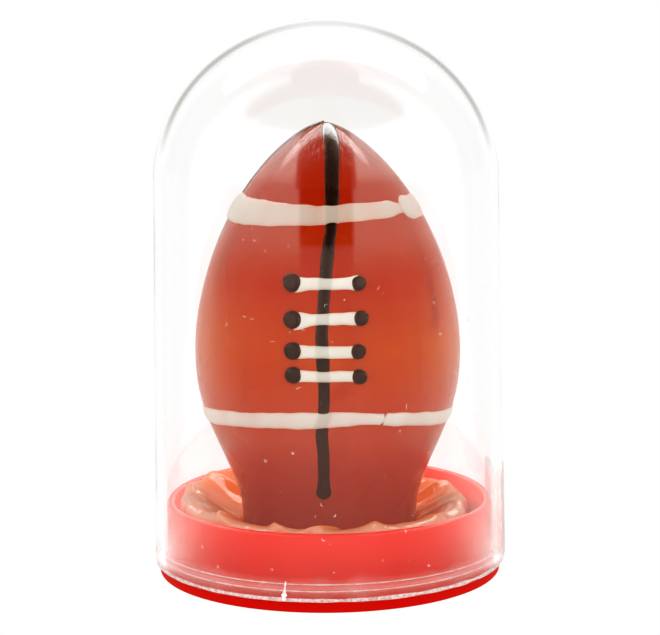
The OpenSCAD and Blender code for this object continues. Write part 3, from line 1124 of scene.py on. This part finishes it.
# %% [markdown]
# ## Studio
# A pale sweep, soft light from both sides and one strong soft light high behind, as for a
# catalogue picture. The room in front is dimmer, so the dome's middle stays clear and its
# sides go milky with reflections.

# %% Camera
camera_data = bpy.data.cameras.new("camera")
camera = bpy.data.objects.new("camera", camera_data)
bpy.context.scene.collection.objects.link(camera)
PITCH, ROLL = math.radians(9.44), math.radians(0.602)
looking = Vector((0, math.cos(PITCH), -math.sin(PITCH))).to_track_quat("-Z", "Y").to_matrix()
camera.matrix_world = Matrix.Translation((0.0, -0.42505, 0.11675)) @ (
    looking @ Matrix.Rotation(-ROLL, 3, "Z")).to_4x4()
camera_data.sensor_width = 36.0
camera_data.lens = 130.3
camera_data.shift_x = 0.00396
camera_data.clip_start, camera_data.clip_end = 0.01, 20.0
bpy.context.scene.camera = camera
print(f"camera {camera_data.lens:.0f} mm, {-camera.matrix_world.translation.y:.3f} m in front")

# %% [markdown]
# The table and the surroundings are white where they are seen. What the glossy surfaces
# mirror is another matter: in a studio that is dim around the camera, with soft boxes to the
# left and right and a strong one high behind. Light Path tells the two apart by counting the
# mirror bounces so far. The table's look goes by the direction and distance from the middle.

# %% Table
table = Finish("white_table")
spot = table.place()
beside, away = (table.add("ShaderNodeSeparateXYZ", {}, spot, out=k) for k in (0, 1))
reach = (beside * beside + away * away).math("SQRT")
ahead = away * -1.0 / (reach + 0.001)
around = table.add("ShaderNodeValToRGB", {"stops": [
    (0.0, (1.0,) * 3), (0.35, (1.0,) * 3), (0.45, (1.5,) * 3), (0.56, (1.5,) * 3),
    (0.66, (0.9,) * 3), (0.76, (0.58,) * 3), (0.90, (0.42,) * 3), (1.0, (0.58,) * 3)]},
    ahead * 0.5 + 0.5)
middle = ahead.over(0.945, 0.965)
far = ahead.over(0.05, 0.3) * reach.over(0.46, 0.68) * (1.0 - middle)
near = ahead.over(0.1, 0.4) * (1.0 - reach.over(0.17, 0.30))
mirror_look = around + near * 0.26 - middle * reach.over(0.10, 0.45) * 0.04 + far
mirror_look = mirror_look * (1.0 - middle * reach.over(0.60, 0.63) * 0.93)
mirrored = table.add("ShaderNodeLightPath", out="Glossy Depth").over(0.2, 0.8)
seen = 1.0 - table.add("ShaderNodeLightPath", out="Is Transmission Ray") * 0.02
table_glow = table.add("ShaderNodeEmission", {}, (1.0, 1.0, 1.0),
                       mirror_look * mirrored + seen * (1.0 - mirrored))
table.show(table_glow)
W = 8000  # mm from the middle to each side
top = make_piece("table_top", [(-W, -W, 0), (W, -W, 0), (W, W, 0), (-W, W, 0)], [(0, 1, 2, 3)],
                 None, table.material)
print("table:", len(table.tree.nodes), "nodes")

# %% [markdown]
# The surroundings are painted by direction: `ahead` is 1 towards the camera and -1 behind the
# object, and `up` is 1 overhead. Soft steps in them stand for boxes, a gap and a backdrop. The
# backdrop ends in a grey edge, which is what draws the dome's outline.

# %% Surroundings
bpy.context.scene.world = bpy.data.worlds.new("studio")
studio = Finish("studio", bpy.context.scene.world)
toward = studio.add("ShaderNodeTexCoord", out="Generated")
right, back, up = (studio.add("ShaderNodeSeparateXYZ", {}, toward, out=k) for k in range(3))
sideways = right.math("ABSOLUTE")
level = (right * right + back * back).math("SQRT") + 0.0001
ahead = back * -1.0 / level
around = studio.add("ShaderNodeValToRGB", {"stops": [
    (0.0, (1.1,) * 3), (0.10, (1.1,) * 3), (0.17, (0.9,) * 3), (0.36, (0.9,) * 3),
    (0.44, (1.7,) * 3), (0.62, (1.7,) * 3), (0.74, (0.7,) * 3), (0.95, (0.55,) * 3)]},
    ahead * 0.5 + 0.5)
side_box = ahead.over(0.0, 0.25) * (1.0 - ahead.over(0.93, 0.95)) * (1.0 - up.over(0.60, 0.75))
side_box = side_box * (up.over(0.0, 0.25) * 1.4 + 1.0)
overhead = ahead.over(-0.1, 0.3) * up.over(0.60, 0.80)
overhead = overhead.math("MAXIMUM", up.over(0.955, 0.965))
room = (around + side_box) * (1.0 - overhead) + overhead * 0.25
dark_gap = ahead.over(0.945, 0.965) * (1.0 - up.over(0.94, 0.96))
room = room * (1.0 - dark_gap * 0.82)
high_box = up.over(0.63, 0.66) * (1.0 - up.over(0.955, 0.965)) * back.over(0.28, 0.40)
high_box = high_box * (1.0 - sideways.over(0.60, 0.70))
beyond = back * 0.986 - up * 0.165  # cosine of the angle from the middle of the backdrop
backdrop_edge = beyond.over(0.79, 0.85) * (1.0 - beyond.over(0.905, 0.93)) * up.over(-0.08, 0.16)
backdrop_edge = backdrop_edge * (sideways.over(0.04, 0.26) * 0.5 + 0.5)
mirror_look = (room + high_box * 8.0) * (1.0 - backdrop_edge * 0.6)
bounced = studio.add("ShaderNodeLightPath", out="Glossy Depth").over(0.2, 0.8)
bent = studio.add("ShaderNodeLightPath", out="Is Transmission Ray")
seen_through = 1.0 - backdrop_edge * bent * 0.7 - bent * 0.02
studio.show(studio.add("ShaderNodeBackground", {}, (1.0, 1.0, 1.0),
                       mirror_look * bounced + seen_through * (1.0 - bounced)))
print("surroundings:", len(studio.tree.nodes), "nodes")

# %% [markdown]
# Four soft lamps light what isn't glossy. They don't show in reflections, because the painted
# surroundings already hold the boxes that are mirrored.

# %% Lamps
def soft_lamp(name, place, size, power, target=(0, 0, 0.045)):
    lamp = bpy.data.lights.new(name, "AREA")
    lamp.shape, lamp.size, lamp.size_y, lamp.energy = "RECTANGLE", size[0], size[1], power
    holder = bpy.data.objects.new(name, lamp)
    bpy.context.scene.collection.objects.link(holder)
    holder.location = place
    holder.rotation_euler = (Vector(target) - Vector(place)).to_track_quat("-Z", "Y").to_euler()
    holder.visible_camera = holder.visible_glossy = holder.visible_transmission = False


soft_lamp("left_box", (-0.75, -0.55, 0.45), (0.6, 0.8), 1.0)
soft_lamp("right_box", (0.75, -0.55, 0.45), (0.6, 0.8), 1.0)
soft_lamp("front_box", (0.0, -0.75, 0.65), (0.7, 0.4), 0.8)
soft_lamp("high_box", (0.0, 0.35, 0.9), (0.6, 0.5), 2.0)
print("4 soft lamps")

# %% [markdown]
# The picture is developed with plain colours, and curves that deepen the darks of green and
# blue, so that the reds stay rich. Light may not focus through the dome on its own, because the
# clear plastic has already let it in.

# %% Render settings and sizes
scene = bpy.context.scene
scene.view_settings.view_transform = "Standard"
scene.view_settings.use_curve_mapping = True
tone_curves = scene.view_settings.curve_mapping
GREEN, BLUE = 1, 2
for channel, points in (
    (GREEN, ((0.014, 0.004), (0.042, 0.025), (0.08, 0.048), (0.2, 0.165), (0.45, 0.43))),
    (BLUE, ((0.014, 0.002), (0.042, 0.019), (0.08, 0.037), (0.2, 0.140), (0.45, 0.40))),
):
    for dark, darker in points:
        tone_curves.curves[channel].points.new(dark, darker)
tone_curves.update()
scene.cycles.caustics_refractive = scene.cycles.caustics_reflective = False
scene.cycles.max_bounces, scene.cycles.transmission_bounces = 24, 16
scene.cycles.glossy_bounces = 12
scene.cycles.transparent_max_bounces = 16
